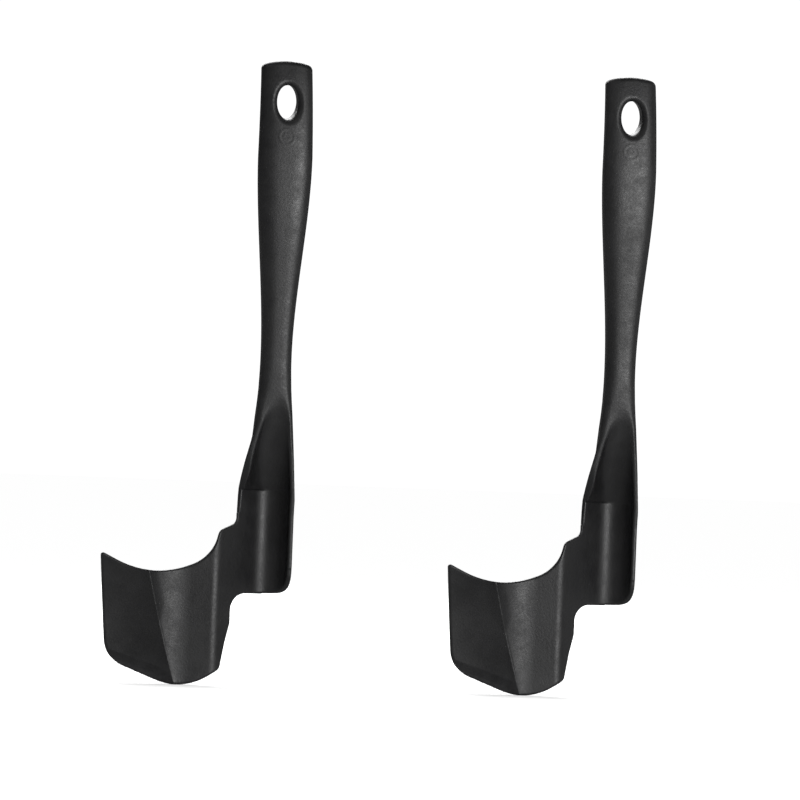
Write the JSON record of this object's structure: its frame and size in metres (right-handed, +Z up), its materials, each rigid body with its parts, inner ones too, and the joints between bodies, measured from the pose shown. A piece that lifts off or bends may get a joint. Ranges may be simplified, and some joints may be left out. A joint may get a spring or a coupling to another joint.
{
  "type": "rotary bowl spatula",
  "caption": "Flat-handled bowl spatula with a half-round channel that turns on a mixer's spindle and a curved wing that scrapes the bowl's wall and floor.",
  "frame": {"origin": "on the axis of the left spatula's spindle seat, level with the channel's foot", "axes": "+Z up along the spindle seat towards the handle's tip, +X across the width of the handles from the left spatula to the right one, +Y through the handles from front to back"},
  "size_m": [0.2304, 0.0205, 0.2612],
  "materials": {
    "black_plastic": "fine matt grain, slightly polished on the grip and the scraping edges"
  },
  "bodies": {
    "left_spatula": {"left_spatula": "black_plastic"},
    "right_spatula": {"right_spatula": "black_plastic"}
  },
  "joints": [
    {"name": "right_spatula_lift", "type": "slide", "parent": "left_spatula", "child": "right_spatula", "axis": [0, 0, 1], "range_m": [0, 0.28]}
  ]
}
